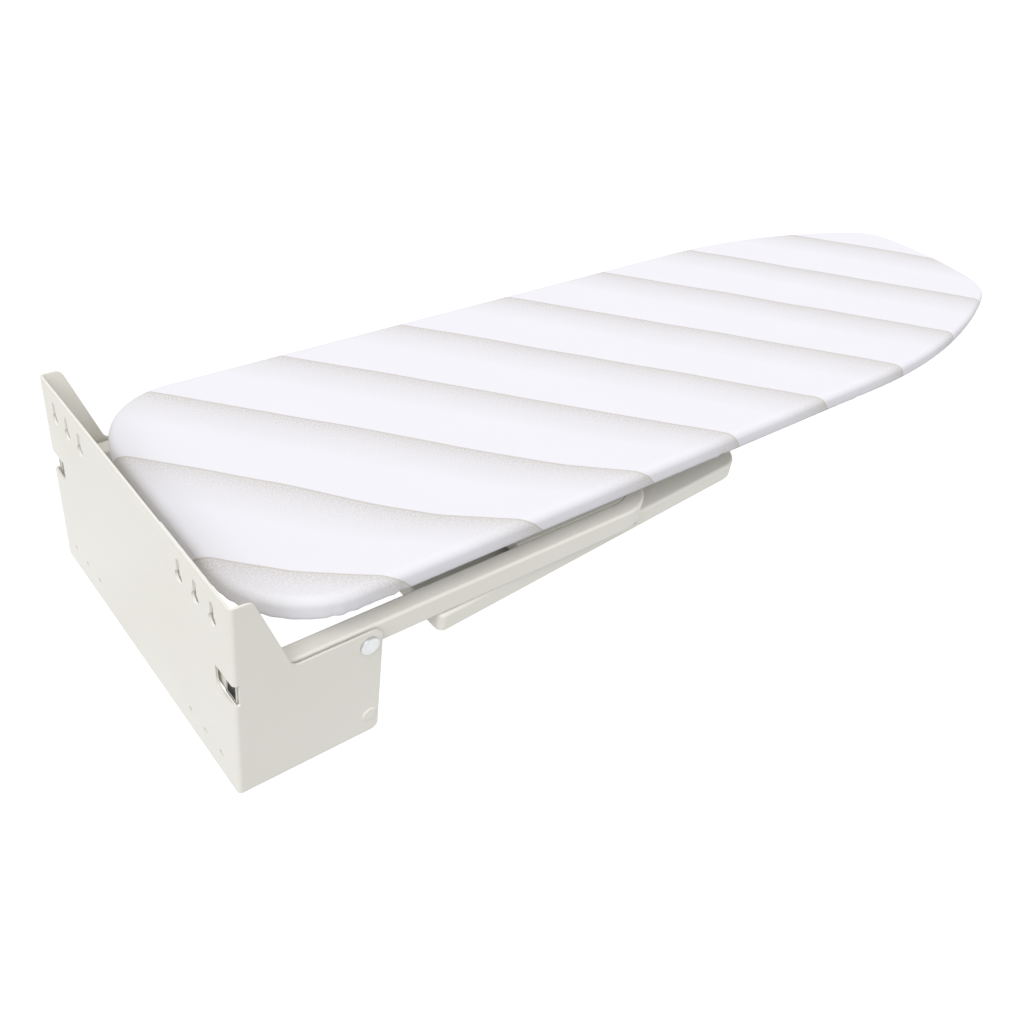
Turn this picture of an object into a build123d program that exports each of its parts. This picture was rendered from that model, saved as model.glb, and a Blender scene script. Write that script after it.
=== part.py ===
"""Wall-hung folding ironing board: sheet-metal wall bracket, hinged carrier frame, swivelling board.

Frame: X points out from the wall, Y to the right of a person who faces the wall, Z up.
The origin lies on the bracket's wall face, at mid-width and at the height of the fold hinge.
Each sub-part is one solid, or one group of equal solids, in its own STEP file under parts/.
"""
import math
import os

from build123d import *

os.makedirs("parts", exist_ok=True)

# Wall bracket
bracket_width = 324.0
bracket_top = 88.0
bracket_bottom = -98.0
bracket_sheet = 2.0
bend_radius = 1.5
ear_reach = 121.0
ear_top = 12.0
ear_slope_foot = 46.0
ear_slope_head = 17.0
ear_corner_radius = 8.0
ear_low_corner_radius = 6.0
window_inner_edge = 135.5
window_bottom = -3.5
window_top = 16.5
window_wrap = 4.5
tab_reach = 20.0
tab_corner_radius = 8.0
fixing_columns = (86.0, 111.0, 136.0)
keyhole_top = 75.5
keyhole_slot_width = 5.0
keyhole_head_diameter = 10.5
keyhole_length = 21.5
lock_hole_height = -76.5
lock_hole_diameter = 5.0
buffer_x = 12.0
buffer_length = 12.0
buffer_width = 13.0
buffer_corner_radius = 2.0
buffer_gap = 0.2
cut_margin = 1.0

# Fold hinge
hinge_x = 109.0
pin_radius = 4.0
pin_head_radius = 8.0
pin_head_thickness = 2.6
pin_head_edge = 0.7
running_clearance = 0.05
bush_wall = 1.5
bush_flange_radius = 7.0
bush_stand = 1.0
pin_inner_end = 136.5
ring_thickness = 1.2
ring_gap = 0.8

# Stow detent: a stud on each arm and the dimple in the ear that it reaches when the board is up
detent_x = 30.0
detent_z = -4.0
stud_radius = 3.0
dimple_radius = 7.0
dimple_height = 1.0
dimple_taper = 58.0
stud_gap = 0.4
stud_dome = 1.8

# Carrier frame
arm_outer = 157.0
arm_width = 17.0
arm_bottom = -8.5
arm_height = 21.0
arm_wall = 1.5
arm_edge_radius = 2.5
carrier_rear = 4.5
carrier_front = 425.0
carrier_corner_radius = 44.0
cross_flange = 21.5
cross_sheet = 2.0
cross_bend_radius = 3.0
plug_recess = 1.0
plug_depth = 12.0
plug_gap = 0.2

# Swivel
swivel_x = 350.0
pivot_plate_rear = 268.0
pivot_plate_thickness = 2.0
pivot_plate_flange = 12.0
hub_radius = 30.0
hub_wall = 4.0
hub_flange_radius = 40.0
hub_flange_thickness = 2.5
swivel_bush_wall = 3.0
swivel_bush_depth = 10.0
swivel_bush_flange_radius = 56.0
swivel_bush_flange_thickness = 2.2
slide_gap = 0.3
hole_gap = 0.1
turntable_length = 180.0
turntable_width = 150.0
turntable_thickness = 3.0
screw_radius = 2.5
screw_head_radius = 4.6
screw_head_height = 2.1
screw_x = 75.0
screw_length = 12.0
countersink_angle = 45.0
screw_nut_radius = 4.6
screw_nut_height = 4.0
turntable_corner = 12.0
spindle_radius = 6.0
spindle_hex = 18.0
spindle_head_height = 6.0
washer_radius = 18.0
washer_thickness = 2.0
spring_radius = 14.0
spring_stack = 3.0
spring_dish = 0.8
spring_sheet = 0.55
nut_height = 8.0
thread_end = 1.0
thread_chamfer = 0.8
glide_thickness = 0.7
glide_span = (185.0, 400.0)
glide_width = 11.0

# Lower tray
tray_rear = 178.0
tray_front = 572.0
tray_rear_half_width = 159.2
tray_front_half_width = 131.9
tray_rear_corner = 6.0
tray_front_corner = 30.0
tray_height = 16.5
tray_sheet = 1.2
tray_edge_radius = 3.0

# Board
board_rear = 25.0
board_half_width = 158.0
board_bottom = 33.6
board_top = 54.0
board_rear_corner = 78.0
taper_start = 741.0
taper_radius = 760.0
taper_turn = 22.4
shoulder_radius = 56.0
shoulder_turn = 56.0
cover_cloth = 0.8
cover_edge_radius = 8.0
cover_under_radius = 3.0
cover_hem = 28.0
pad_inset = 2.0
pad_thickness = 6.4
pad_edge_radius = 6.2
layer_gap = 0.2
deck_inset = 3.0
deck_sheet = 0.8
deck_rim_bottom = 37.5
deck_edge_radius = 1.8
steam_hole_radius = 3.0
steam_hole_pitch = 38.0
steam_hole_middle = 530.0
steam_holes_along = 23
steam_holes_across = 7
rail_y = 62.5
rail_width = 25.0
rail_rear = 150.0
rail_length = 610.0
rail_sheet = 1.2
rail_flange = 8.0

# Derived levels and sizes
ear_outer = bracket_width / 2
ear_inner = ear_outer - bracket_sheet
arm_inner = arm_outer - arm_width
arm_top = arm_bottom + arm_height
carrier_inner_front = carrier_front - arm_width
turntable_bottom = arm_top + swivel_bush_flange_thickness + slide_gap
turntable_top = turntable_bottom + turntable_thickness
tray_top = arm_bottom - glide_thickness - slide_gap
tray_bottom = tray_top - tray_height
cover_inner_top = board_top - cover_cloth
pad_top = cover_inner_top - layer_gap
pad_bottom = pad_top - pad_thickness
deck_top = pad_bottom - layer_gap
deck_under = deck_top - deck_sheet
dimple_x = hinge_x - detent_z
dimple_z = detent_x - hinge_x
sides = (("left", -1), ("right", 1))


def save(part, name):
    """Label a finished sub-part and write it as parts/name.step."""
    part.label = name
    export_step(part, f"parts/{name}.step")


def side_plane(side, distance):
    """Plane across Y at a distance from the middle, facing outwards on that side."""
    return Plane(origin=(0, side * distance, 0), x_dir=(-side, 0, 0), z_dir=(0, side, 0))


def across(side, x, z):
    """Local point on a side plane for a place given by its X and Z."""
    return (-side * x, z)


def board_outline(inset):
    """Closed wire of the board's plan: square rear with round corners, long taper, blunt nose."""
    nose_turn = 90 - taper_turn - shoulder_turn
    taper_drop = taper_radius * (1 - math.cos(math.radians(taper_turn)))
    shoulder_drop = shoulder_radius * (
        math.cos(math.radians(taper_turn)) - math.cos(math.radians(taper_turn + shoulder_turn))
    )
    nose_half = board_half_width - taper_drop - shoulder_drop
    nose_radius = nose_half / math.sin(math.radians(nose_turn))
    half = board_half_width - inset
    rear = board_rear + inset
    corner = board_rear_corner - inset
    with BuildLine(mode=Mode.PRIVATE) as outline:
        rear_edge = Line((rear, 0), (rear, half - corner))
        round_corner = JernArc(rear_edge @ 1, (0, 1), corner, -90)
        side_edge = Line(round_corner @ 1, (taper_start, half))
        taper = JernArc(side_edge @ 1, (1, 0), taper_radius - inset, -taper_turn)
        shoulder = JernArc(taper @ 1, taper % 1, shoulder_radius - inset, -shoulder_turn)
        JernArc(shoulder @ 1, shoulder % 1, nose_radius - inset, -nose_turn)
        mirror(about=Plane.XZ)
    return outline.wires()[0]


def board_slab(inset, bottom, top):
    """Solid of the board's plan, inset all round, between two heights."""
    with BuildPart(mode=Mode.PRIVATE) as slab:
        with BuildSketch(Plane.XY.offset(bottom)):
            add(board_outline(inset))
            make_face()
        extrude(amount=top - bottom)
    return slab.part


# ---------------------------------------------------------------- wall bracket

with BuildPart() as wall_bracket:
    with BuildSketch(Plane.XY.offset(bracket_bottom)):
        with Locations((ear_reach / 2, 0)):
            Rectangle(ear_reach, bracket_width)
    extrude(amount=bracket_top - bracket_bottom)
    rear_edges = wall_bracket.edges().filter_by(Axis.Z).group_by(Axis.X)[0]
    fillet(rear_edges, bend_radius + bracket_sheet)
    with BuildSketch(Plane.XY.offset(bracket_bottom)) as channel:
        with Locations(((ear_reach + bracket_sheet) / 2 + cut_margin, 0)):
            Rectangle(ear_reach - bracket_sheet + 2 * cut_margin, 2 * ear_inner)
        fillet(channel.vertices().group_by(Axis.X)[0], bend_radius)
    extrude(amount=bracket_top - bracket_bottom, mode=Mode.SUBTRACT)
    with BuildSketch(Plane.XZ) as ear_profile:
        with BuildLine():
            Polyline(
                (0, bracket_bottom),
                (ear_reach, bracket_bottom),
                (ear_reach, ear_top),
                (ear_slope_foot, ear_top),
                (ear_slope_head, bracket_top),
                (0, bracket_top),
                close=True,
            )
        make_face()
        front_low = ear_profile.vertices().group_by(Axis.X)[-1].sort_by(Axis.Y)[0]
        fillet(front_low, ear_low_corner_radius)
        upper = [
            corner
            for corner in ear_profile.vertices()
            if corner.Y > ear_top - cut_margin and corner.X > cut_margin
        ]
        fillet(upper, ear_corner_radius)
    extrude(amount=bracket_width, both=True, mode=Mode.INTERSECT)
    for name, side in sides:
        # window cut through the plate and round the bend, and the stop tab folded inwards from it
        with BuildSketch(Plane.YZ.offset(-cut_margin)) as window:
            with BuildLine():
                Polyline(
                    (side * window_inner_edge, window_bottom),
                    (side * (ear_outer + cut_margin), window_bottom),
                    (side * (ear_outer + cut_margin), window_top),
                    (side * window_inner_edge, window_top),
                    close=True,
                )
            make_face()
            low = window.vertices().group_by(Axis.Y)[0]
            fillet(low.sort_by(Axis.X, reverse=side < 0)[0], tab_corner_radius)
        extrude(amount=window_wrap + cut_margin, mode=Mode.SUBTRACT)
        with BuildSketch(Plane.XY.offset(window_top)) as tab:
            tab_outer = ear_inner - bend_radius
            with Locations(((tab_reach + cut_margin) / 2, side * (window_inner_edge + tab_outer) / 2)):
                Rectangle(tab_reach - cut_margin, tab_outer - window_inner_edge)
            far = tab.vertices().group_by(Axis.X)[-1]
            fillet(far.sort_by(Axis.Y, reverse=side < 0)[0], tab_corner_radius)
        extrude(amount=bracket_sheet)
        # hinge pin hole and stow dimple in the ear
        with BuildSketch(side_plane(side, ear_inner - cut_margin)):
            with Locations(across(side, hinge_x, 0)):
                Circle(pin_radius + running_clearance)
        extrude(amount=bracket_sheet + 2 * cut_margin, mode=Mode.SUBTRACT)
        with BuildSketch(side_plane(side, ear_outer)):
            with Locations(across(side, dimple_x, dimple_z)):
                Circle(dimple_radius)
        extrude(amount=dimple_height, taper=dimple_taper)
        with BuildSketch(side_plane(side, ear_inner)):
            with Locations(across(side, dimple_x, dimple_z)):
                Circle(dimple_radius - bracket_sheet / 2)
        extrude(amount=dimple_height, taper=dimple_taper, mode=Mode.SUBTRACT)
    # hanging keyholes above, locking screw holes below, three columns on each side
    columns = [side * y for name, side in sides for y in fixing_columns]
    slot_span = keyhole_length - keyhole_head_diameter / 2 - keyhole_slot_width / 2
    with BuildSketch(Plane.YZ.offset(-cut_margin)):
        with Locations(*[(y, keyhole_top - keyhole_length + keyhole_head_diameter / 2) for y in columns]):
            Circle(keyhole_head_diameter / 2)
        with Locations(*[(y, keyhole_top - keyhole_slot_width / 2 - slot_span / 2) for y in columns]):
            SlotCenterToCenter(slot_span, keyhole_slot_width, rotation=90)
        with Locations(*[(y, lock_hole_height) for y in columns]):
            Circle(lock_hole_diameter / 2)
    extrude(amount=bracket_sheet + 2 * cut_margin, mode=Mode.SUBTRACT)
save(wall_bracket.part, "wall_bracket")

# One rubber buffer under each stop tab; the arm's rear end rises against it
with BuildPart() as stop_buffers:
    buffer_height = window_top - arm_top - buffer_gap
    arm_middle = arm_outer - arm_width / 2
    buffer_middle = window_top - buffer_height / 2
    with Locations(*[(buffer_x, side * arm_middle, buffer_middle) for name, side in sides]):
        Box(buffer_length, buffer_width, buffer_height)
    fillet(stop_buffers.edges().filter_by(Axis.Z), buffer_corner_radius)
save(stop_buffers.part, "stop_buffers")

# ---------------------------------------------------------------- fold hinge

for name, side in sides:
    # shoulder pin: flat head outside the ear, shank through ear and arm
    with BuildPart() as hinge_pin:
        with BuildSketch(side_plane(side, pin_inner_end)):
            with Locations(across(side, hinge_x, 0)):
                Circle(pin_radius)
        extrude(amount=ear_outer - pin_inner_end)
        with BuildSketch(side_plane(side, ear_outer)):
            with Locations(across(side, hinge_x, 0)):
                Circle(pin_head_radius)
        extrude(amount=pin_head_thickness)
        rim = hinge_pin.faces().sort_by(Axis.Y, reverse=side > 0)[0].edges()
        fillet(rim, pin_head_edge)
    save(hinge_pin.part, f"hinge_pin_{name}")

    # push-on ring that keeps the pin from walking out
    with BuildPart() as hinge_ring:
        with BuildSketch(side_plane(side, pin_inner_end + ring_gap)):
            with Locations(across(side, hinge_x, 0)):
                Circle(bush_flange_radius)
                Circle(pin_radius, mode=Mode.SUBTRACT)
        extrude(amount=ring_thickness)
    save(hinge_ring.part, f"hinge_ring_{name}")

    # nylon bush in the arm; its flange spaces the arm from the ear
    with BuildPart() as hinge_bush:
        with BuildSketch(side_plane(side, arm_inner - bush_stand)):
            with Locations(across(side, hinge_x, 0)):
                Circle(pin_radius + running_clearance + bush_wall)
        extrude(amount=arm_width + bush_stand)
        with BuildSketch(side_plane(side, arm_outer)):
            with Locations(across(side, hinge_x, 0)):
                Circle(bush_flange_radius)
        extrude(amount=ear_inner - arm_outer - slide_gap)
        with BuildSketch(side_plane(side, arm_inner - 2 * cut_margin)):
            with Locations(across(side, hinge_x, 0)):
                Circle(pin_radius + running_clearance)
        extrude(amount=arm_width + 6 * cut_margin, mode=Mode.SUBTRACT)
    save(hinge_bush.part, f"hinge_bush_{name}")

# ---------------------------------------------------------------- carrier frame


def u_outline(inset, rear, front):
    """Sketch of the carrier's plan: two arms joined by a front bar with round corners."""
    with BuildSketch(mode=Mode.PRIVATE) as plan:
        with BuildSketch(mode=Mode.ADD) as outer:
            with Locations(((rear + front - inset) / 2, 0)):
                Rectangle(front - inset - rear, 2 * (arm_outer - inset))
            fillet(outer.vertices().group_by(Axis.X)[-1], carrier_corner_radius - inset)
        inner_front = carrier_inner_front + inset
        inner_rear = rear - cut_margin
        with BuildSketch(mode=Mode.SUBTRACT) as inner:
            with Locations(((inner_rear + inner_front) / 2, 0)):
                Rectangle(inner_front - inner_rear, 2 * (arm_inner + inset))
            fillet(inner.vertices().group_by(Axis.X)[-1], carrier_corner_radius - arm_width + inset)
    return plan.sketch


with BuildPart() as carrier_frame:
    with BuildSketch(Plane.XY.offset(arm_bottom)):
        add(u_outline(0, carrier_rear, carrier_front))
    extrude(amount=arm_height)
    long_edges = [
        edge
        for face in (carrier_frame.faces().sort_by(Axis.Z)[0], carrier_frame.faces().sort_by(Axis.Z)[-1])
        for edge in face.edges()
        if edge.bounding_box().max.X > carrier_rear + cut_margin
    ]
    fillet(long_edges, arm_edge_radius)
    with BuildSketch(Plane.XY.offset(arm_bottom + arm_wall)):
        add(u_outline(arm_wall, carrier_rear - cut_margin, carrier_front))
    extrude(amount=arm_height - 2 * arm_wall, mode=Mode.SUBTRACT)
    for name, side in sides:
        with BuildSketch(side_plane(side, arm_inner - 2 * cut_margin)):
            with Locations(across(side, hinge_x, 0)):
                Circle(pin_radius + running_clearance + bush_wall)
        extrude(amount=arm_width + 4 * cut_margin, mode=Mode.SUBTRACT)
save(carrier_frame.part, "carrier_frame")

# Moulded plug in each arm's open rear end, a little inside the rim
with BuildPart() as arm_end_plugs:
    plug_width = arm_width - 2 * arm_wall - 2 * plug_gap
    plug_height = arm_height - 2 * arm_wall - 2 * plug_gap
    plug_middle = carrier_rear + plug_recess + plug_depth / 2
    with Locations(*[(plug_middle, side * arm_middle, arm_bottom + arm_height / 2) for name, side in sides]):
        Box(plug_depth, plug_width, plug_height)
save(arm_end_plugs.part, "arm_end_plugs")

# Channel that ties the two arms together behind the bracket's windows
with BuildPart() as rear_cross_member:
    with BuildSketch(side_plane(1, -arm_inner)) as section:
        with BuildLine():
            Polyline(
                across(1, carrier_rear + cross_flange, arm_top),
                across(1, carrier_rear, arm_top),
                across(1, carrier_rear, arm_bottom),
                across(1, carrier_rear + cross_flange, arm_bottom),
                across(1, carrier_rear + cross_flange, arm_bottom + cross_sheet),
                across(1, carrier_rear + cross_sheet, arm_bottom + cross_sheet),
                across(1, carrier_rear + cross_sheet, arm_top - cross_sheet),
                across(1, carrier_rear + cross_flange, arm_top - cross_sheet),
                close=True,
            )
        make_face()
        fillet(section.vertices().group_by(Axis.X)[-1], cross_bend_radius)
    extrude(amount=2 * arm_inner)
save(rear_cross_member.part, "rear_cross_member")

# Domed nylon stud on each arm; it snaps into the ear's dimple when the board is folded up
with BuildPart() as detent_studs:
    for name, side in sides:
        with BuildSketch(side_plane(side, arm_outer)):
            with Locations(across(side, detent_x, detent_z)):
                Circle(stud_radius)
        extrude(amount=ear_inner - arm_outer - stud_gap)
        fillet(detent_studs.faces().sort_by(Axis.Y, reverse=side > 0)[0].edges(), stud_dome)
save(detent_studs.part, "detent_studs")

# Pressed plate between the arms that carries the swivel
with BuildPart() as pivot_plate:
    with BuildSketch(Plane.XY.offset(arm_top - pivot_plate_thickness)) as plate_plan:
        with Locations(((pivot_plate_rear + carrier_inner_front) / 2, 0)):
            Rectangle(carrier_inner_front - pivot_plate_rear, 2 * arm_inner)
        fillet(plate_plan.vertices().group_by(Axis.X)[-1], carrier_corner_radius - arm_width)
        with Locations((swivel_x, 0)):
            Circle(hub_radius + running_clearance + swivel_bush_wall, mode=Mode.SUBTRACT)
    extrude(amount=pivot_plate_thickness)
    with BuildSketch(Plane.XY.offset(arm_top - pivot_plate_flange)):
        with Locations((pivot_plate_rear + pivot_plate_thickness / 2, 0)):
            Rectangle(pivot_plate_thickness, 2 * arm_inner)
    extrude(amount=pivot_plate_flange)
save(pivot_plate.part, "pivot_plate")

# Low-friction tape under each arm, where the lower tray slides
with BuildPart() as glide_strips:
    strip_middle = sum(glide_span) / 2
    strip_z = arm_bottom - glide_thickness / 2
    with Locations(*[(strip_middle, side * arm_middle, strip_z) for name, side in sides]):
        Box(glide_span[1] - glide_span[0], glide_width, glide_thickness)
save(glide_strips.part, "glide_strips")

# Flanged nylon bush in the pivot plate; the turntable rests on its flange
with BuildPart() as swivel_bush:
    with BuildSketch(Plane.XY.offset(arm_top)):
        with Locations((swivel_x, 0)):
            Circle(swivel_bush_flange_radius)
    extrude(amount=swivel_bush_flange_thickness)
    with BuildSketch(Plane.XY.offset(arm_top)):
        with Locations((swivel_x, 0)):
            Circle(hub_radius + running_clearance + swivel_bush_wall)
    extrude(amount=-swivel_bush_depth)
    with BuildSketch(Plane.XY.offset(turntable_bottom)):
        with Locations((swivel_x, 0)):
            Circle(hub_radius + running_clearance)
    extrude(amount=-2 * swivel_bush_depth, mode=Mode.SUBTRACT)
save(swivel_bush.part, "swivel_bush")

# ---------------------------------------------------------------- swivel, on the board's side

# Spacer hub clamped between turntable and tray; it turns in the bush
with BuildPart() as swivel_hub:
    with BuildSketch(Plane.XY.offset(tray_top)):
        with Locations((swivel_x, 0)):
            Circle(hub_radius)
    extrude(amount=turntable_bottom - tray_top)
    with BuildSketch(Plane.XY.offset(tray_top)):
        with Locations((swivel_x, 0)):
            Circle(hub_flange_radius)
    extrude(amount=hub_flange_thickness)
    with BuildSketch(Plane.XY.offset(tray_top)):
        with Locations((swivel_x, 0)):
            Circle(hub_radius - hub_wall)
    extrude(amount=turntable_bottom - tray_top, mode=Mode.SUBTRACT)
save(swivel_hub.part, "swivel_hub")

screw_places = [
    (swivel_x + end * screw_x, side * rail_y) for name, side in sides for end in (-1, 1)
]

with BuildPart() as turntable_plate:
    with BuildSketch(Plane.XY.offset(turntable_bottom)) as turntable_plan:
        with Locations((swivel_x, 0)):
            RectangleRounded(turntable_length, turntable_width, turntable_corner)
    extrude(amount=turntable_thickness)
    with Locations((swivel_x, 0, turntable_top)):
        Hole(spindle_radius + hole_gap)
    with BuildSketch(Plane.XY.offset(turntable_bottom)):
        with Locations(*screw_places):
            Circle(screw_radius + hole_gap)
    extrude(amount=turntable_thickness, mode=Mode.SUBTRACT)
    with BuildSketch(Plane.XY.offset(turntable_bottom)):
        with Locations(*screw_places):
            Circle(screw_head_radius + hole_gap)
    extrude(amount=screw_head_height, taper=countersink_angle, mode=Mode.SUBTRACT)
save(turntable_plate.part, "turntable_plate")

# Countersunk screws from below hold the turntable to the two rails
with BuildPart() as turntable_screws:
    with BuildSketch(Plane.XY.offset(turntable_bottom)):
        with Locations(*screw_places):
            Circle(screw_radius)
    extrude(amount=screw_length)
    with BuildSketch(Plane.XY.offset(turntable_bottom)):
        with Locations(*screw_places):
            Circle(screw_head_radius)
    extrude(amount=screw_head_height, taper=countersink_angle)
save(turntable_screws.part, "turntable_screws")

with BuildPart() as turntable_nuts:
    with BuildSketch(Plane.XY.offset(turntable_top + rail_sheet)):
        with Locations(*screw_places):
            RegularPolygon(screw_nut_radius, 6)
            Circle(screw_radius, mode=Mode.SUBTRACT)
    extrude(amount=screw_nut_height)
save(turntable_nuts.part, "turntable_nuts")

# Inverted tray under the arms; it turns with the board and keeps it from tipping
with BuildPart() as lower_tray:
    with BuildSketch(Plane.XY.offset(tray_bottom)) as tray_plan:
        with BuildLine():
            Polyline(
                (tray_rear, -tray_rear_half_width),
                (tray_front, -tray_front_half_width),
                (tray_front, tray_front_half_width),
                (tray_rear, tray_rear_half_width),
                close=True,
            )
        make_face()
        fillet(tray_plan.vertices().group_by(Axis.X)[0], tray_rear_corner)
        fillet(tray_plan.vertices().group_by(Axis.X)[-1], tray_front_corner)
    extrude(amount=tray_height)
    fillet(lower_tray.faces().sort_by(Axis.Z)[-1].edges(), tray_edge_radius)
    with BuildSketch(Plane.XY.offset(tray_bottom)):
        offset(tray_plan.sketch, amount=-tray_sheet)
    extrude(amount=tray_height - tray_sheet, mode=Mode.SUBTRACT)
    with Locations((swivel_x, 0, tray_top)):
        Hole(spindle_radius + hole_gap)
save(lower_tray.part, "lower_tray")

washer_top = tray_top - tray_sheet
spring_top = washer_top - washer_thickness
nut_top = spring_top - spring_stack

with BuildPart() as swivel_spindle:
    with BuildSketch(Plane.XY.offset(turntable_top)):
        with Locations((swivel_x, 0)):
            RegularPolygon(spindle_hex / 2, 6, major_radius=False)
    extrude(amount=spindle_head_height)
    with BuildSketch(Plane.XY.offset(nut_top - nut_height - thread_end)):
        with Locations((swivel_x, 0)):
            Circle(spindle_radius)
    extrude(amount=turntable_top - nut_top + nut_height + thread_end)
    fillet(swivel_spindle.faces().sort_by(Axis.Z)[0].edges(), thread_chamfer)
save(swivel_spindle.part, "swivel_spindle")

with BuildPart() as spindle_washer:
    with BuildSketch(Plane.XY.offset(spring_top)):
        with Locations((swivel_x, 0)):
            Circle(washer_radius)
            Circle(spindle_radius + hole_gap, mode=Mode.SUBTRACT)
    extrude(amount=washer_thickness)
save(spindle_washer.part, "spindle_washer")

# Two disc springs, one against the washer and one against the nut, with their bores together
with BuildPart() as disc_springs:
    spring_bore_x = swivel_x + spindle_radius + 2 * hole_gap
    spring_rim_x = swivel_x + spring_radius
    with BuildSketch(Plane.XZ):
        for rim_z, lean in ((spring_top - hole_gap, -1), (nut_top + hole_gap, 1)):
            with BuildLine():
                Polyline(
                    (spring_bore_x, rim_z + lean * spring_dish),
                    (spring_rim_x, rim_z),
                    (spring_rim_x, rim_z + lean * spring_sheet),
                    (spring_bore_x, rim_z + lean * (spring_dish + spring_sheet)),
                    close=True,
                )
            make_face()
    revolve(axis=Axis((swivel_x, 0, 0), (0, 0, 1)))
save(disc_springs.part, "disc_springs")

with BuildPart() as spindle_nut:
    with BuildSketch(Plane.XY.offset(nut_top - nut_height)):
        with Locations((swivel_x, 0)):
            RegularPolygon(spindle_hex / 2, 6, major_radius=False)
            Circle(spindle_radius, mode=Mode.SUBTRACT)
    extrude(amount=nut_height)
save(spindle_nut.part, "spindle_nut")

# ---------------------------------------------------------------- board

# Two open channels along the board, from the turntable up to the deck
for name, side in sides:
    half_rail = rail_width / 2
    with BuildPart() as deck_rail:
        with BuildSketch(Plane.YZ.offset(rail_rear)):
            with BuildLine():
                Polyline(
                    (side * rail_y - half_rail - rail_flange, deck_under),
                    (side * rail_y - half_rail - rail_flange, deck_under - rail_sheet),
                    (side * rail_y - half_rail, deck_under - rail_sheet),
                    (side * rail_y - half_rail, turntable_top),
                    (side * rail_y + half_rail, turntable_top),
                    (side * rail_y + half_rail, deck_under - rail_sheet),
                    (side * rail_y + half_rail + rail_flange, deck_under - rail_sheet),
                    (side * rail_y + half_rail + rail_flange, deck_under),
                    (side * rail_y + half_rail - rail_sheet, deck_under),
                    (side * rail_y + half_rail - rail_sheet, turntable_top + rail_sheet),
                    (side * rail_y - half_rail + rail_sheet, turntable_top + rail_sheet),
                    (side * rail_y - half_rail + rail_sheet, deck_under),
                    close=True,
                )
            make_face()
        extrude(amount=rail_length)
        with BuildSketch(Plane.XY.offset(turntable_top)):
            with Locations(*[place for place in screw_places if place[1] * side > 0]):
                Circle(screw_radius + hole_gap)
        extrude(amount=rail_sheet, mode=Mode.SUBTRACT)
    save(deck_rail.part, f"deck_rail_{name}")

# Pressed steel deck with a turned-down rim and steam holes
with BuildPart() as board_deck:
    add(board_slab(deck_inset, deck_rim_bottom, deck_top))
    fillet(board_deck.faces().sort_by(Axis.Z)[-1].edges(), deck_edge_radius)
    add(board_slab(deck_inset + deck_sheet, deck_rim_bottom - cut_margin, deck_under), mode=Mode.SUBTRACT)
    with BuildSketch(Plane.XY.offset(deck_under - cut_margin)):
        with Locations((steam_hole_middle, 0)):
            with GridLocations(steam_hole_pitch, steam_hole_pitch, steam_holes_along, steam_holes_across):
                Circle(steam_hole_radius)
    extrude(amount=deck_sheet + 2 * cut_margin, mode=Mode.SUBTRACT)
save(board_deck.part, "board_deck")

with BuildPart() as board_pad:
    add(board_slab(pad_inset, pad_bottom, pad_top))
    fillet(board_pad.faces().sort_by(Axis.Z)[-1].edges(), pad_edge_radius)
save(board_pad.part, "board_pad")

# Space inside the cover, with the cloth's thickness left all round
with BuildPart() as cover_inside:
    add(board_slab(cover_cloth, board_bottom + cover_cloth, cover_inner_top))
    fillet(cover_inside.faces().sort_by(Axis.Z)[-1].edges(), cover_edge_radius - cover_cloth)
    fillet(cover_inside.faces().sort_by(Axis.Z)[0].edges(), cover_under_radius - cover_cloth)

# Fitted cloth cover: top, sides and a hem turned in under the rim
with BuildPart() as board_cover:
    add(board_slab(0, board_bottom, board_top))
    fillet(board_cover.faces().sort_by(Axis.Z)[-1].edges(), cover_edge_radius)
    fillet(board_cover.faces().sort_by(Axis.Z)[0].edges(), cover_under_radius)
    add(cover_inside.part, mode=Mode.SUBTRACT)
    add(board_slab(cover_hem, board_bottom - cut_margin, board_bottom + 2 * cut_margin), mode=Mode.SUBTRACT)
save(board_cover.part, "board_cover")
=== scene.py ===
import math

import bmesh
import bpy
import numpy as np
from mathutils import Matrix, Vector


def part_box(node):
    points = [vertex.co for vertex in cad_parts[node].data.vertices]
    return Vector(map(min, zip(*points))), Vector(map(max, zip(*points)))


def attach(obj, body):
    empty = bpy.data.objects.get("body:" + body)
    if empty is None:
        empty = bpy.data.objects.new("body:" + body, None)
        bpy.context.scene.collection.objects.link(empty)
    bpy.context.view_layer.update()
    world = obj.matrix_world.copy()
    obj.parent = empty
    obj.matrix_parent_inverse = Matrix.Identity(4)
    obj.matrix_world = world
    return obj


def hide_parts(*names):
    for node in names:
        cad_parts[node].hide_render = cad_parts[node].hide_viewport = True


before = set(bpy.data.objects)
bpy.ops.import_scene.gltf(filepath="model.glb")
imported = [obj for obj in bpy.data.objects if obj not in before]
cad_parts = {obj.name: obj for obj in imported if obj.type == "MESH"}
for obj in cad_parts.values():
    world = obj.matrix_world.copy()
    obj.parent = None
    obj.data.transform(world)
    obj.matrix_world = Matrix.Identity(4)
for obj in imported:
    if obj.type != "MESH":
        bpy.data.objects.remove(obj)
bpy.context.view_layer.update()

# ---------------------------------------------------------------- camera
# It stands behind the wall face, to the left and above, and looks down along the board.
# The view is rolled a few degrees, so the ears of the bracket don't stand quite upright.
camera_place = Vector((-0.2173, -0.6257, 0.5733))
camera_right = Vector((0.7725, -0.6236, 0.1198))
camera_up = Vector((0.3121, 0.5372, 0.7836))
camera_back = camera_right.cross(camera_up)
camera = bpy.data.objects.new("camera", bpy.data.cameras.new("camera"))
camera.data.lens = 37.68
camera.data.sensor_width = 36.0
camera.data.clip_start = 0.01
camera.data.clip_end = 100.0
camera.matrix_world = Matrix.Translation(camera_place) @ Matrix(
    (camera_right, camera_up, camera_back)
).transposed().to_4x4()
bpy.context.scene.collection.objects.link(camera)
bpy.context.scene.camera = camera


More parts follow.
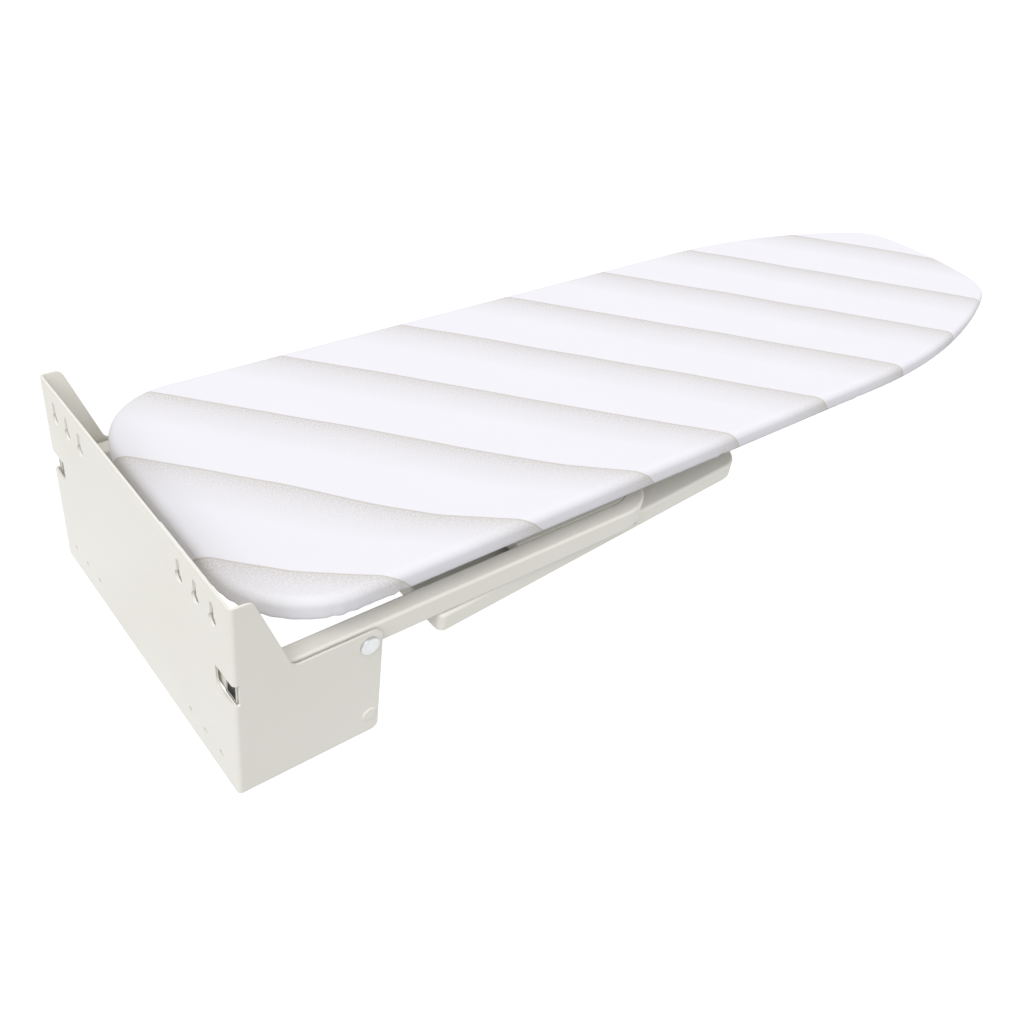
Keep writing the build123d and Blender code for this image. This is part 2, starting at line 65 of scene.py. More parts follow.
# ---------------------------------------------------------------- painted sheet metal
# Bracket, carrier, cross member, pivot plate, rails and tray are pressed from mild steel, bent and
# spot-welded. All of them leave the same oven with one coat of cream-white polyester powder.
noise_middle = (0.3, 0.7)
edge_samples = 4


def linear(colour):
    """Linear RGBA of an sRGB hex colour: c / 12.92 below 0.04045, else ((c + 0.055) / 1.055) ^ 2.4."""
    c = np.array([int(colour[i : i + 2], 16) for i in (0, 2, 4)]) / 255
    return (*np.where(c < 0.04045, c / 12.92, ((c + 0.055) / 1.055) ** 2.4), 1.0)


def add_node(tree, kind, settings=(), values=(), links=()):
    """Adds one node: settings are its own properties, values its socket values, links what feeds it."""
    made = tree.nodes.new(kind)
    for name, value in dict(settings).items():
        setattr(made, name, value)
    for socket, value in dict(values).items():
        made.inputs[socket].default_value = value
    for socket, source in dict(links).items():
        tree.links.new(source, made.inputs[socket])
    return made


def new_material(name):
    """A material with its tree and its surface shader."""
    material = bpy.data.materials.new(name)
    material.use_nodes = True
    return material, material.node_tree, material.node_tree.nodes["Principled BSDF"]


def hard_finish(name, patch, colours, gloss=None, edge=None, grain=None, sockets=()):
    """A solid piece's material. patch: size and detail of its cloudy patches. colours: their two ends.
    gloss: the roughness across them. edge: the radius its edges are rounded to. grain: size, detail,
    strength and height of its fine relief. sockets: constants on the surface shader. Sizes in metres."""
    material, tree, shader = new_material(name)
    spot = add_node(tree, "ShaderNodeTexCoord").outputs["Object"]
    patches = add_node(
        tree,
        "ShaderNodeTexNoise",
        values={"Scale": 1 / patch[0], "Detail": patch[1]},
        links={"Vector": spot},
    )
    tone = add_node(
        tree,
        "ShaderNodeMix",
        settings={"data_type": "RGBA"},
        values={6: linear(colours[0]), 7: linear(colours[1])},
        links={0: patches.outputs["Fac"]},
    )
    tree.links.new(tone.outputs[2], shader.inputs["Base Color"])
    if gloss:
        roughness = add_node(
            tree,
            "ShaderNodeMapRange",
            values=dict(zip(("From Min", "From Max", "To Min", "To Max"), (*noise_middle, *gloss))),
            links={"Value": patches.outputs["Fac"]},
        )
        tree.links.new(roughness.outputs["Result"], shader.inputs["Roughness"])
    normal = {}
    if edge:
        rounded = add_node(
            tree, "ShaderNodeBevel", settings={"samples": edge_samples}, values={"Radius": edge}
        )
        normal = {"Normal": rounded.outputs["Normal"]}
    if grain:
        size, detail, strength, height = grain
        relief = add_node(
            tree, "ShaderNodeTexNoise", values={"Scale": 1 / size, "Detail": detail}, links={"Vector": spot}
        )
        bump = add_node(
            tree,
            "ShaderNodeBump",
            values={"Strength": strength, "Distance": height},
            links={"Height": relief.outputs["Fac"], **normal},
        )
        normal = {"Normal": bump.outputs["Normal"]}
    for socket, source in normal.items():
        tree.links.new(source, shader.inputs[socket])
    for socket, value in dict(sockets).items():
        shader.inputs[socket].default_value = value
    return material


def dress(material, *names):
    """Puts a material in every slot of the named CAD nodes."""
    for name in names:
        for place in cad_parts[name].material_slots:
            place.material = material


# Polyester powder coat, sprayed dry and melted: satin, faintly dimpled like orange peel, and drawn
# thin and round over every sheared edge, so edges catch a soft line of light.
powder_coat = hard_finish(
    "cream_polyester_powder_coat",
    patch=(0.140, 2.0),
    colours=("f3f1e9", "efede4"),
    gloss=(0.36, 0.46),
    edge=0.0007,
    grain=(0.0024, 1.5, 0.55, 0.00003),
    sockets={"IOR": 1.52},
)
dress(powder_coat, "wall_bracket", "carrier_frame", "rear_cross_member", "pivot_plate", "lower_tray")
dress(powder_coat, "deck_rail_left", "deck_rail_right")

# ---------------------------------------------------------------- plated hardware
# Hinge pins, swivel screws, nuts, washer, hub and turntable are turned or stamped from steel and
# barrel-plated with bright zinc. The pins' flat heads show outside the ears.
# Bright zinc plate, tumbled: cool pale metal, slightly cloudy, with fine random tumbling marks.
zinc_plate = hard_finish(
    "bright_zinc_plated_steel",
    patch=(0.009, 4.0),
    colours=("e0e1e3", "d0d2d4"),
    gloss=(0.26, 0.4),
    edge=0.0003,
    grain=(0.0005, 3.0, 0.3, 0.00001),
    sockets={"Metallic": 1.0},
)
dress(zinc_plate, "hinge_pin_left", "hinge_pin_right", "turntable_plate", "turntable_screws")
dress(zinc_plate, "turntable_nuts", "swivel_hub", "swivel_spindle", "spindle_washer", "spindle_nut")

# ---------------------------------------------------------------- spring parts
# Push-on rings grip the pins' inner ends, and two disc springs under the tray load the swivel.
# They are stamped from hardened strip and left oiled, not plated.
# Hardened spring steel, oil-blackened: dark brownish grey metal with smoky patches.
spring_steel = hard_finish(
    "oiled_spring_steel",
    patch=(0.004, 5.0),
    colours=("8a8680", "5f5b57"),
    gloss=(0.3, 0.5),
    sockets={"Metallic": 1.0},
)
dress(spring_steel, "hinge_ring_left", "hinge_ring_right", "disc_springs")

# ---------------------------------------------------------------- nylon bearings
# Flanged bushes in the arms and the pivot plate, domed studs and glide strips are injection-moulded
# nylon, pressed or snapped into their holes.
# Natural nylon 6, moulded: warm milky white, waxy, and a little light goes through it.
nylon = hard_finish(
    "natural_nylon",
    patch=(0.012, 2.0),
    colours=("ebe7da", "ddd7c6"),
    grain=(0.0004, 2.0, 0.4, 0.00001),
    sockets={"Roughness": 0.42, "IOR": 1.53, "Subsurface Weight": 0.15, "Subsurface Scale": 0.001},
)
dress(nylon, "hinge_bush_left", "hinge_bush_right", "detent_studs", "swivel_bush", "glide_strips")

# ---------------------------------------------------------------- rubber buffers
# One block glued under each stop tab takes the knock of the arm's rear end.
# Natural rubber, compression-moulded: near black, dull, with a fine sandy skin.
rubber = hard_finish(
    "black_moulded_rubber",
    patch=(0.006, 3.0),
    colours=("242322", "34322f"),
    grain=(0.0005, 2.0, 0.6, 0.00004),
    sockets={"Roughness": 0.78, "IOR": 1.52},
)
dress(rubber, "stop_buffers")

# ---------------------------------------------------------------- painted shade in the arms' ends
# A near-black piece in each arm's open rear end is painted shade: it stands for the deep shade inside
# the tube that the bracket's windows show. Near black with a half gloss and a faint grained face.
painted_tube_shade = hard_finish(
    "painted_shade_in_arm_tubes",
    patch=(0.008, 2.0),
    colours=("1f1e1e", "2b2a29"),
    grain=(0.0006, 1.0, 0.5, 0.00002),
    sockets={"Roughness": 0.5, "IOR": 1.51},
)
# The arms' end pieces get the near-black painted shade.
dress(painted_tube_shade, "arm_end_plugs")

# ---------------------------------------------------------------- deck
# The ironing deck is thin steel, pressed with a turned-down rim and pierced with steam holes, then
# dipped and stove-enamelled light grey.
# Stove enamel over steel: even light grey, half gloss, with slow thickness runs.
enamel = hard_finish(
    "grey_stove_enamel",
    patch=(0.05, 3.0),
    colours=("d2d4d5", "c8cacc"),
    gloss=(0.3, 0.42),
    edge=0.0004,
    sockets={"IOR": 1.52},
)
dress(enamel, "board_deck")

# ---------------------------------------------------------------- underlay pad
# A needled felt and foam pad, cut to the board's plan, lies loose on the deck. The cover pulls its
# edge round, and its top swells a little between the edges.
plan_low, plan_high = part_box("board_cover")
half_width = plan_high.y
corner_radius = 0.078
straight_end = 0.741
taper_radius, taper_turn = 0.760, math.radians(22.4)
shoulder_radius, shoulder_turn = 0.056, math.radians(56.0)
nose_turn = math.pi / 2 - taper_turn - shoulder_turn
nose_half = (
    half_width
    - taper_radius * (1 - math.cos(taper_turn))
    - shoulder_radius * (math.cos(taper_turn) - math.cos(taper_turn + shoulder_turn))
)
half_lengths = np.array(
    [
        half_width - corner_radius,
        corner_radius * math.pi / 2,
        straight_end - plan_low.x - corner_radius,
        taper_radius * taper_turn,
        shoulder_radius * shoulder_turn,
        nose_half / math.sin(nose_turn) * nose_turn,
    ]
)
half_turns = -np.array([0, math.pi / 2, 0, taper_turn, shoulder_turn, nose_turn])
run_lengths = np.concatenate([half_lengths, half_lengths[::-1]])
run_turns = np.concatenate([half_turns, half_turns[::-1]])
run_starts = np.concatenate([[0], np.cumsum(run_lengths)[:-1]])
edge_length = run_lengths.sum()
spine_rear = plan_low.x + half_width
spine_front = plan_high.x - 0.100


def round_the_board(count):
    """Points on the board's edge and their outward normals, clockwise from the middle of the rear edge.
    The edge is a chain of runs of even curvature: after a distance s on a run that has turned by a,
    the chord is s * sin(a / 2) / (a / 2) long and points along the heading of the run's middle."""
    s = np.arange(count) * edge_length / count
    headings = math.pi / 2 + np.concatenate([[0], np.cumsum(run_turns)[:-1]])
    chords = run_lengths * np.sinc(run_turns / 2 / math.pi)
    middles = headings + run_turns / 2
    steps = chords[:, None] * np.stack([np.cos(middles), np.sin(middles)], axis=1)
    joints = np.array([plan_low.x, 0]) + np.concatenate([[[0, 0]], np.cumsum(steps, axis=0)[:-1]])
    run = np.searchsorted(run_starts, s, side="right") - 1
    turned = run_turns[run] * (s - run_starts[run]) / run_lengths[run]
    chord = (s - run_starts[run]) * np.sinc(turned / 2 / math.pi)
    middle = headings[run] + turned / 2
    points = joints[run] + chord[:, None] * np.stack([np.cos(middle), np.sin(middle)], axis=1)
    heading = headings[run] + turned
    return s, points, np.stack([-np.sin(heading), np.cos(heading)], axis=1)


def toward_spine(points, normals, inset, shares):
    """Rows of points that run straight from the edge, inset, to the board's middle line, by shares."""
    rim = points - inset * normals
    spine = np.stack([np.clip(rim[:, 0], spine_rear, spine_front), np.zeros(len(rim))], axis=1)
    return rim[None] + shares[:, None, None] * (spine - rim)[None]


def closed_rows(name, rows, maps=()):
    """A mesh from rows of points that each close on themselves, from the first row out, up and over to
    the last. maps is a list of (name, one pair of values for each corner of each face)."""
    count_rows, count = rows.shape[:2]
    i, j = np.meshgrid(np.arange(count), np.arange(count_rows - 1))
    on = (i + 1) % count
    faces = np.stack([j * count + i, (j + 1) * count + i, (j + 1) * count + on, j * count + on], axis=2)
    mesh = bpy.data.meshes.new(name)
    mesh.from_pydata(rows.reshape(-1, 3).tolist(), [], faces.reshape(-1, 4).tolist())
    for layer, pairs in maps:
        mesh.uv_layers.new(name=layer).data.foreach_set("uv", pairs.astype(np.float32).ravel())
    joined = bmesh.new()
    joined.from_mesh(mesh)
    bmesh.ops.remove_doubles(joined, verts=joined.verts, dist=0.000002)
    joined.to_mesh(mesh)
    joined.free()
    mesh.shade_smooth()
    piece = bpy.data.objects.new(name, mesh)
    bpy.context.scene.collection.objects.link(piece)
    return piece


pad_low, pad_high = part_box("board_pad")
pad_inset = pad_high.y - half_width
pad_count = 420
pad_slack = 0.0008
pad_tuck = 0.002
pad_round = 0.009
pad_foot = (0.007, 0.003)
pad_rings = 22
_, edge_points, edge_normals = round_the_board(pad_count)
bend = np.linspace(0, math.pi / 2, 6)
pad_edge = (pad_high.z - pad_low.z) - pad_slack
pad_rise = np.concatenate([[0.0, 0.0], pad_edge * np.sin(bend)])
pad_insets = pad_tuck - pad_inset + np.concatenate([pad_foot, pad_round * (1 - np.cos(bend))])
pad_sides = edge_points[None] - pad_insets[:, None, None] * edge_normals[None]
pad_shares = np.linspace(0, 1, pad_rings)
pad_plan = np.concatenate(
    [
        toward_spine(edge_points, edge_normals, pad_insets[0], pad_shares)[:0:-1],
        pad_sides,
        toward_spine(edge_points, edge_normals, pad_insets[-1], pad_shares)[1:],
    ]
)
pad_heights = np.concatenate([np.zeros(pad_rings - 1), pad_rise, np.full(pad_rings - 1, pad_rise[-1])])
pad_rows = np.concatenate(
    [pad_plan, np.broadcast_to(pad_low.z + pad_heights[:, None, None], (*pad_plan.shape[:2], 1))], axis=2
)
pad = closed_rows("pad", pad_rows)


swell_frames = 20
swell_pressure = 4.0
pad_glue = 0.0005
side_move = 0.3


def swell(piece, glued_below, most):
    """Blows a closed piece up by cloth simulation under air pressure and no gravity. Points below
    glued_below stay. The rest move by at most `most`, upwards, and side_move of that sideways."""
    start = np.zeros(len(piece.data.vertices) * 3, np.float32)
    piece.data.vertices.foreach_get("co", start)
    start = start.reshape(-1, 3)
    glued = piece.vertex_groups.new(name="glued")
    glued.add(np.flatnonzero(start[:, 2] < glued_below).tolist(), 1.0, "REPLACE")
    cloth = piece.modifiers.new("cloth", "CLOTH")
    cloth.settings.vertex_group_mass = "glued"
    cloth.settings.use_pressure = True
    cloth.settings.uniform_pressure_force = swell_pressure
    cloth.settings.effector_weights.gravity = 0.0
    cloth.settings.quality = 4
    cloth.point_cache.frame_start = 1
    cloth.point_cache.frame_end = swell_frames
    for number in range(1, swell_frames + 1):
        bpy.context.scene.frame_set(number)
    shaped = piece.evaluated_get(bpy.context.evaluated_depsgraph_get()).to_mesh()
    end = np.zeros(len(shaped.vertices) * 3, np.float32)
    shaped.vertices.foreach_get("co", end)
    piece.modifiers.remove(cloth)
    piece.vertex_groups.clear()
    bpy.context.scene.frame_set(1)
    move = np.clip(np.nan_to_num(end.reshape(-1, 3) - start), -most, most)
    move[:, :2] *= side_move
    move[:, 2] = np.maximum(move[:, 2], 0)
    piece.data.vertices.foreach_set("co", (start + move).astype(np.float32).ravel())
    piece.data.update()


swell(pad, pad_low.z + pad_glue, pad_slack)

# Needled polyester felt on foam: dull off-white, matted fibres about 1 mm apart, dimpled by needles.
felt, tree, shader = new_material("needled_felt")
spot = add_node(tree, "ShaderNodeTexCoord").outputs["Object"]
fibre = add_node(
    tree,
    "ShaderNodeTexNoise",
    values={"Scale": 1 / 0.0012, "Detail": 6.0, "Distortion": 1.5},
    links={"Vector": spot},
)
needles = add_node(tree, "ShaderNodeTexVoronoi", values={"Scale": 1 / 0.004}, links={"Vector": spot})
tone = add_node(
    tree,
    "ShaderNodeMix",
    settings={"data_type": "RGBA"},
    values={6: linear("d6d4cb"), 7: linear("efeee8")},
    links={0: fibre.outputs["Fac"]},
)
mat_height = add_node(
    tree,
    "ShaderNodeMath",
    settings={"operation": "MULTIPLY_ADD"},
    values={1: 0.6},
    links={0: needles.outputs["Distance"], 2: fibre.outputs["Fac"]},
)
matted = add_node(
    tree,
    "ShaderNodeBump",
    values={"Strength": 0.8, "Distance": 0.0004},
    links={"Height": mat_height.outputs["Value"]},
)
shader.inputs["Roughness"].default_value = 0.95
shader.inputs["Sheen Weight"].default_value = 0.25
tree.links.new(tone.outputs[2], shader.inputs["Base Color"])
tree.links.new(matted.outputs["Normal"], shader.inputs["Normal"])
pad.data.materials.append(felt)
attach(pad, "board")
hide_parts("board_pad")

# ---------------------------------------------------------------- cover
# One piece of printed cotton, cut larger than the board all round. Its hem is folded over an elastic
# and stitched, and draws the cloth round the edge and in under the rim, where it gathers.
cover_count = 960
top_radius = 0.0075
bottom_radius = 0.0056
hem_inset = 0.028
hem_fold = 0.010
hem_thickness = 0.0018
hem_nose = 0.001
crown = 0.0005
gather_depth = 0.0011
straight_share = 0.16
gather_waves = (130, 235, 7)
gather_norm = 3.2
cover_top, cover_bottom = plan_high.z, plan_low.z
bend_up = np.linspace(0, math.pi / 2, 7)[1:]
bend_over = np.linspace(0, math.pi / 2, 11)[1:]
roll = np.linspace(-math.pi / 2, math.pi / 2, 5)
wall_rise = np.linspace(bottom_radius, cover_top - cover_bottom - top_radius, 3)[1:]
section_insets = np.concatenate(
    [
        np.linspace(hem_inset - hem_fold, hem_inset - hem_nose, 4)[:-1],
        hem_inset - hem_nose + hem_thickness / 2 * np.cos(roll),
        np.linspace(hem_inset - hem_nose, bottom_radius, 8)[1:],
        bottom_radius * (1 - np.sin(bend_up)),
        np.zeros(len(wall_rise)),
        top_radius * (1 - np.cos(bend_over)),
    ]
)
section_rises = np.concatenate(
    [
        np.full(3, hem_thickness),
        hem_thickness / 2 * (1 - np.sin(roll)),
        np.zeros(7),
        bottom_radius * (1 - np.cos(bend_up)),
        wall_rise,
        cover_top - cover_bottom - top_radius * (1 - np.sin(bend_over)),
    ]
)
section_steps = np.hypot(np.diff(section_insets), np.diff(section_rises))
section_along = np.concatenate([[0], np.cumsum(section_steps)])
cut_outwards = section_along[-1] - section_along - top_radius
side_slope_in = np.gradient(section_insets)
side_slope_up = np.gradient(section_rises)
slope = np.hypot(side_slope_in, side_slope_up)
lean_out, lean_up = side_slope_up / slope, side_slope_in / slope

s, edge_points, edge_normals = round_the_board(cover_count)
chance = np.random.default_rng(41)
waves = chance.integers(*gather_waves)
phases = chance.uniform(0, 2 * math.pi, len(waves))
swings = np.cos(2 * math.pi * waves[:, None] * s[None] / edge_length + phases[:, None])
gathers = swings.sum(axis=0) / gather_norm
run = np.searchsorted(run_starts, s, side="right") - 1
tightness = np.clip(np.abs(run_turns[run] / run_lengths[run]) * corner_radius, 0, 1)
window = np.hanning(25)
tightness = np.convolve(np.tile(tightness, 3), window / window.sum(), "same")[cover_count : 2 * cover_count]
pull = gather_depth * (straight_share + (1 - straight_share) * tightness) * gathers

# Tucks: places where the elastic bunched the cloth, by their distance from the wall and their side.
tuck_places = [(0.139, -1), (0.494, -1), (0.300, 1), (0.655, 1), (0.705, -1)]
tuck_depths = np.array([0.0016, 0.0013, 0.0010, 0.0012, 0.0007])
tuck_width = 0.0034
tuck_reach = 0.55
bulge_share, bulge_off = 0.7, 1.9
far_run = run_starts[2] - plan_low.x - corner_radius
tuck_at = np.array([x + far_run if side > 0 else edge_length - x - far_run for x, side in tuck_places])
off = (s[None] - tuck_at[:, None]) / tuck_width
folds = np.exp(-off**2) - bulge_share * np.exp(-((off - bulge_off) ** 2))
tucks = (tuck_depths[:, None] * folds).sum(axis=0)

low_share = np.clip(1 - (section_along - section_along[3]) / (section_along[-1] - section_along[3]), 0, 1)
side_share = low_share**1.3
tuck_share = np.clip(low_share / tuck_reach, 0, 1) ** 2
puff = pull[None] * side_share[:, None] - tucks[None] * tuck_share[:, None]
side_insets = section_insets[:, None] - puff * lean_out[:, None]
sides = edge_points[None] - side_insets[..., None] * edge_normals[None]
side_heights = cover_bottom + section_rises[:, None] + puff * lean_up[:, None]

# The flat top: its rings close up towards the edge, and slow ripples start 45 mm inside it.
flat_from = 0.045
ripples = [(0.00016, 61, 23, 0.4), (0.00013, 38, -52, 2.1), (0.00010, 17, 88, 4.0)]
top_shares = np.linspace(0, 1, 27)[1:] ** 1.15
top_plan = toward_spine(edge_points, edge_normals, top_radius, top_shares)
x, y = top_plan[..., 0], top_plan[..., 1]
depth = np.linalg.norm(top_plan - (edge_points - top_radius * edge_normals)[None], axis=2)
inward = np.clip(depth / flat_from, 0, 1)
settle = inward**2 * (3 - 2 * inward)
ripple = sum(height * np.sin(along * x + over * y + start) for height, along, over, start in ripples)
top_heights = cover_top + settle * (crown + ripple)
cover_rows = np.concatenate(
    [
        np.concatenate([sides, side_heights[..., None]], axis=2),
        np.concatenate([top_plan, top_heights[..., None]], axis=2),
    ]
)

# The cloth's own flat places carry the print: over the top they are the plan, and round the edge they
# go on outwards by the length of cloth. Fitting drew the cloth up to 22 mm along the board, its left
# rear edge 18 mm forwards, and the cloth just inside that edge 7 mm back.
stripe_slope = 0.942
draw = 0.022
edge_draw = 0.018
inner_draw = 0.007
cut_sides = edge_points[None] + cut_outwards[:, None, None] * edge_normals[None]
cut = np.concatenate([cut_sides, top_plan])
across_stripes = cut[..., 0] + stripe_slope * cut[..., 1]
stripe_span = (-0.030, 1.089)
left_span, rear_span = (0.115, 0.045), (0.52, 0.12)
inner_span, inner_rear_span = (0.015, 0.150), (0.34, 0.16)
toward_left = np.clip((-cut[..., 1] - left_span[0]) / left_span[1], 0, 1)
toward_rear = np.clip((rear_span[0] - cut[..., 0]) / rear_span[1], 0, 1)
along_board = np.clip((across_stripes - stripe_span[0]) / stripe_span[1], 0, 1)
cut_u = cut[..., 0] + draw * np.sin(math.pi * along_board)
cut_u = cut_u - edge_draw * toward_left * toward_rear
just_inside = np.sin(math.pi * np.clip((-cut[..., 1] - inner_span[0]) / inner_span[1], 0, 1))
inside_rear = np.clip((inner_rear_span[0] - cut[..., 0]) / inner_rear_span[1], 0, 1)
cut_u = cut_u + inner_draw * just_inside * inside_rear
along_hem = np.broadcast_to(s[None], cut_u.shape)
from_hem = np.concatenate([np.repeat(section_along[:, None], cover_count, 1), section_along[-1] + depth])


def face_corners(u, v, lap):
    """The pair (u, v) at each face's corners in closed_rows' order. lap is what u gains in one round."""
    onward_u, onward_v = np.roll(u, -1, axis=1), np.roll(v, -1, axis=1)
    onward_u = np.concatenate([onward_u[:, :-1], onward_u[:, -1:] + lap], axis=1)
    us = np.stack([u[:-1], u[1:], onward_u[1:], onward_u[:-1]], axis=2)
    vs = np.stack([v[:-1], v[1:], onward_v[1:], onward_v[:-1]], axis=2)
    return np.stack([us, vs], axis=3)


cover = closed_rows(
    "cover",
    cover_rows,
    maps=[
        ("cut", face_corners(cut_u, cut[..., 1], 0.0)),
        ("hem", face_corners(along_hem, from_hem, edge_length)),
    ],
)

# Plain-woven cotton, bleached, with a pigment print of soft silver-beige bands. The threads are 0.4 mm
# apart and drawn at 0.8 mm so that they show. Each band starts at a sharp dark line and fades in grains.
cotton_white = "f0eff5"
print_beige = "c9c4bd"
stripe_pitch = 0.1361
first_stripe = -0.0300
thread_pitch = 0.0008
grain_size = 0.0014
wander_size, wander_share = 0.07, 0.035
stitch_length = 0.0032
stitch_line = section_along[np.argmin(np.abs(section_insets[8:15] - (hem_inset - hem_fold))) + 8]

cotton, tree, shader = new_material("striped_cotton_cover")
cut_map = add_node(tree, "ShaderNodeUVMap", settings={"uv_map": "cut"}).outputs["UV"]
hem_map = add_node(tree, "ShaderNodeUVMap", settings={"uv_map": "hem"}).outputs["UV"]
wander = add_node(
    tree, "ShaderNodeTexNoise", values={"Scale": 1 / wander_size, "Detail": 1.0}, links={"Vector": cut_map}
)
across = add_node(
    tree,
    "ShaderNodeVectorMath",
    settings={"operation": "DOT_PRODUCT"},
    values={1: (1 / stripe_pitch, stripe_slope / stripe_pitch, 0)},
    links={0: cut_map},
)
shifted = add_node(
    tree,
    "ShaderNodeMath",
    settings={"operation": "MULTIPLY_ADD"},
    values={1: wander_share},
    links={0: wander.outputs["Fac"], 2: across.outputs["Value"]},
)
counted = add_node(
    tree,
    "ShaderNodeMath",
    settings={"operation": "SUBTRACT"},
    values={1: first_stripe / stripe_pitch + wander_share / 2},
    links={0: shifted.outputs["Value"]},
)
share = add_node(
    tree, "ShaderNodeMath", settings={"operation": "FRACT"}, links={0: counted.outputs["Value"]}
)
fade = add_node(tree, "ShaderNodeValToRGB", links={"Fac": share.outputs["Value"]})
line = add_node(tree, "ShaderNodeValToRGB", links={"Fac": share.outputs["Value"]})
fade_stops = [(0.50, 0.0), (0.64, 0.11), (0.78, 0.23), (0.88, 0.37), (0.94, 0.50), (0.985, 0.62)]
line_stops = [(0.962, 0.0), (0.978, 0.55), (0.988, 1.0)]
for ramp, stops in ((fade, fade_stops), (line, line_stops)):
    for place, strength in stops:
        stop = ramp.color_ramp.elements.new(place)
        stop.color = (strength, strength, strength, 1)
    ramp.color_ramp.elements[0].color = (0, 0, 0, 1)
    ramp.color_ramp.elements[-1].color = (0, 0, 0, 1)
grain = add_node(
    tree, "ShaderNodeTexNoise", values={"Scale": 1 / grain_size, "Detail": 2.0}, links={"Vector": cut_map}
)
speckle = add_node(
    tree,
    "ShaderNodeMapRange",
    values={"From Min": 0.36, "From Max": 0.64, "To Min": 0.4, "To Max": 1.6},
    links={"Value": grain.outputs["Fac"]},
)
grains = add_node(
    tree,
    "ShaderNodeMath",
    settings={"operation": "MULTIPLY", "use_clamp": True},
    links={0: fade.outputs["Color"], 1: speckle.outputs["Result"]},
)
ink = add_node(
    tree,
    "ShaderNodeMath",
    settings={"operation": "MAXIMUM"},
    links={0: grains.outputs["Value"], 1: line.outputs["Color"]},
)
printed = add_node(
    tree,
    "ShaderNodeMix",
    settings={"data_type": "RGBA"},
    values={6: linear(cotton_white), 7: linear(print_beige)},
    links={0: ink.outputs["Value"]},
)
sheen_less = add_node(
    tree,
    "ShaderNodeMapRange",
    values={"To Min": 0.86, "To Max": 0.62},
    links={"Value": ink.outputs["Value"]},
)
threads = add_node(
    tree,
    "ShaderNodeVectorMath",
    settings={"operation": "SCALE"},
    values={"Scale": 2 * math.pi / thread_pitch},
    links={0: cut_map},
)
warp_weft = add_node(tree, "ShaderNodeSeparateXYZ", links={0: threads.outputs["Vector"]})
warp = add_node(tree, "ShaderNodeMath", settings={"operation": "SINE"}, links={0: warp_weft.outputs["X"]})
weft = add_node(tree, "ShaderNodeMath", settings={"operation": "SINE"}, links={0: warp_weft.outputs["Y"]})
weave = add_node(
    tree,
    "ShaderNodeMath",
    settings={"operation": "MULTIPLY"},
    links={0: warp.outputs["Value"], 1: weft.outputs["Value"]},
)
hem_parts = add_node(tree, "ShaderNodeSeparateXYZ", links={0: hem_map})
seam_offset = add_node(
    tree,
    "ShaderNodeMath",
    settings={"operation": "SUBTRACT"},
    values={1: float(stitch_line)},
    links={0: hem_parts.outputs["Y"]},
)
seam_away = add_node(
    tree, "ShaderNodeMath", settings={"operation": "ABSOLUTE"}, links={0: seam_offset.outputs["Value"]}
)
seam_band = add_node(
    tree,
    "ShaderNodeMapRange",
    values={"From Min": 0.0002, "From Max": 0.0007, "To Min": 1.0, "To Max": 0.0},
    links={"Value": seam_away.outputs["Value"]},
)
seam_count = add_node(
    tree,
    "ShaderNodeMath",
    settings={"operation": "MULTIPLY"},
    values={1: 2 * math.pi / stitch_length},
    links={0: hem_parts.outputs["X"]},
)
seam_wave = add_node(
    tree, "ShaderNodeMath", settings={"operation": "SINE"}, links={0: seam_count.outputs["Value"]}
)
stitch = add_node(
    tree,
    "ShaderNodeMapRange",
    values={"From Min": -0.6, "From Max": 0.0},
    links={"Value": seam_wave.outputs["Value"]},
)
stitches = add_node(
    tree,
    "ShaderNodeMath",
    settings={"operation": "MULTIPLY"},
    links={0: seam_band.outputs["Result"], 1: stitch.outputs["Result"]},
)
weave_height = add_node(
    tree,
    "ShaderNodeMath",
    settings={"operation": "MULTIPLY_ADD"},
    values={1: 4.0},
    links={0: stitches.outputs["Value"], 2: weave.outputs["Value"]},
)
cloth_bump = add_node(
    tree,
    "ShaderNodeBump",
    values={"Strength": 0.5, "Distance": 0.00006},
    links={"Height": weave_height.outputs["Value"]},
)
shader.inputs["Sheen Weight"].default_value = 0.05
shader.inputs["Sheen Roughness"].default_value = 0.5
tree.links.new(printed.outputs[2], shader.inputs["Base Color"])
tree.links.new(sheen_less.outputs["Result"], shader.inputs["Roughness"])
tree.links.new(cloth_bump.outputs["Normal"], shader.inputs["Normal"])
cover.data.materials.append(cotton)
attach(cover, "board")
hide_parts("board_cover")

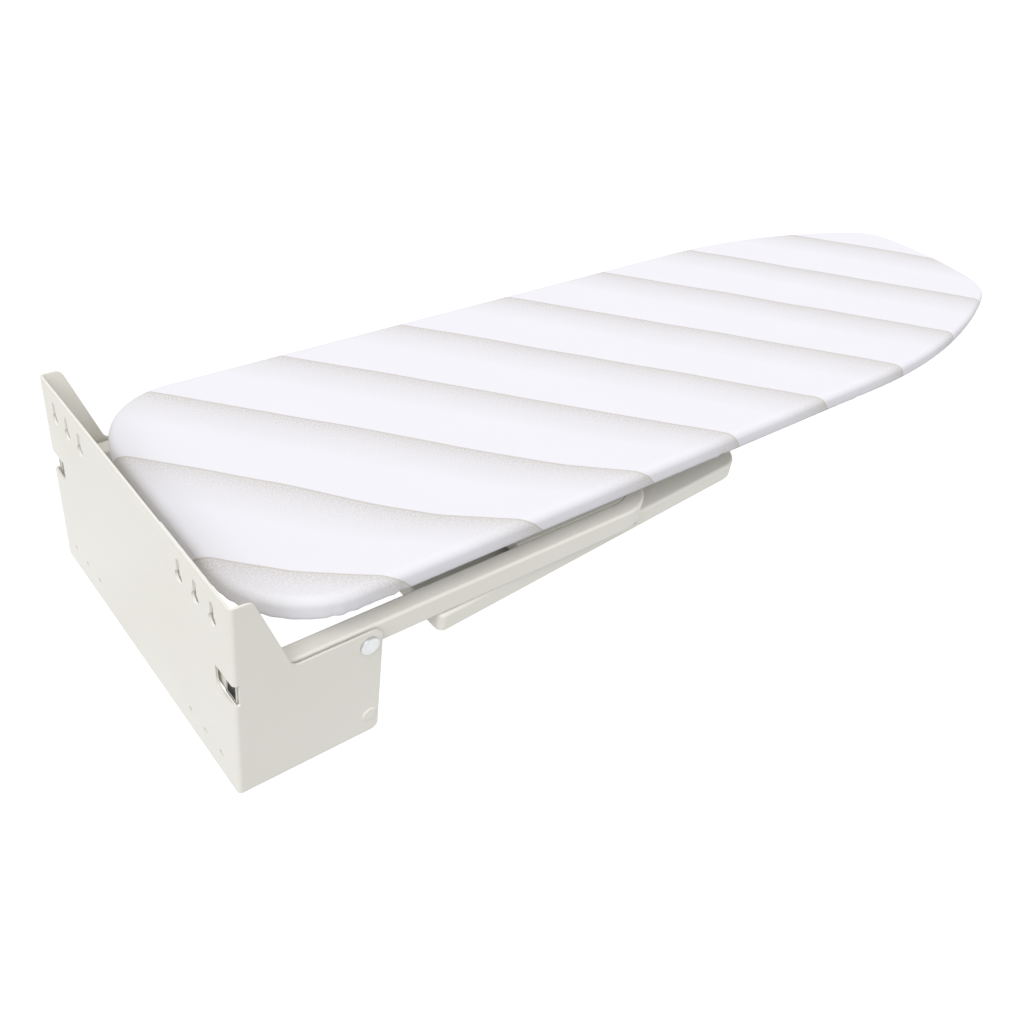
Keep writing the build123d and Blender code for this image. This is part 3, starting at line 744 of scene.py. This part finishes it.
# ---------------------------------------------------------------- floor and light
# A pale matt floor lies a working height below, as under a real wall-hung board. The light is a white
# room, dimmer below than above, with one broad soft lamp behind the wall face, above and to the left.
floor_height = -0.92
floor_reach = 300.0
lamp_way = Vector((-0.61, -0.32, 0.73))
lamp_strength = 1.45
lamp_spread = math.radians(50)
room_above = 0.74
room_below = 0.34

corners = floor_reach * np.array([(-1, -1, 0), (1, -1, 0), (1, 1, 0), (-1, 1, 0)]) + (0, 0, floor_height)
floor_mesh = bpy.data.meshes.new("floor")
floor_mesh.from_pydata(corners.tolist(), [], [(0, 1, 2, 3)])
floor = bpy.data.objects.new("floor", floor_mesh)
floor.visible_diffuse = False
bpy.context.scene.collection.objects.link(floor)

# Matt emulsion on smooth screed: pale, even, no gloss.
floor_paint, tree, shader = new_material("pale_floor_paint")
shader.inputs["Base Color"].default_value = linear("eeeeee")
shader.inputs["Roughness"].default_value = 0.95
shader.inputs["Specular IOR Level"].default_value = 0.1
shader.inputs["Emission Color"].default_value = (1, 1, 1, 1)
shader.inputs["Emission Strength"].default_value = 0.25
floor.data.materials.append(floor_paint)

room = bpy.data.worlds.new("white_room")
room.use_nodes = True
room_light = room.node_tree.nodes["Background"]
way = add_node(room.node_tree, "ShaderNodeTexCoord").outputs["Generated"]
way_up = add_node(room.node_tree, "ShaderNodeSeparateXYZ", links={0: way})
level = add_node(
    room.node_tree,
    "ShaderNodeMapRange",
    values={"From Min": -0.35, "From Max": 0.06, "To Min": room_below, "To Max": room_above},
    links={"Value": way_up.outputs["Z"]},
)
room_light.inputs["Color"].default_value = (1.0, 1.0, 1.0, 1.0)
room.node_tree.links.new(level.outputs["Result"], room_light.inputs["Strength"])
bpy.context.scene.world = room

lamp = bpy.data.objects.new("lamp", bpy.data.lights.new("lamp", "SUN"))
lamp.data.energy = lamp_strength
lamp.data.angle = lamp_spread
lamp.location = 2 * lamp_way
lamp.rotation_mode = "QUATERNION"
lamp.rotation_quaternion = lamp_way.to_track_quat("Z", "Y")
bpy.context.scene.collection.objects.link(lamp)
bpy.context.scene.view_settings.view_transform = "Standard"
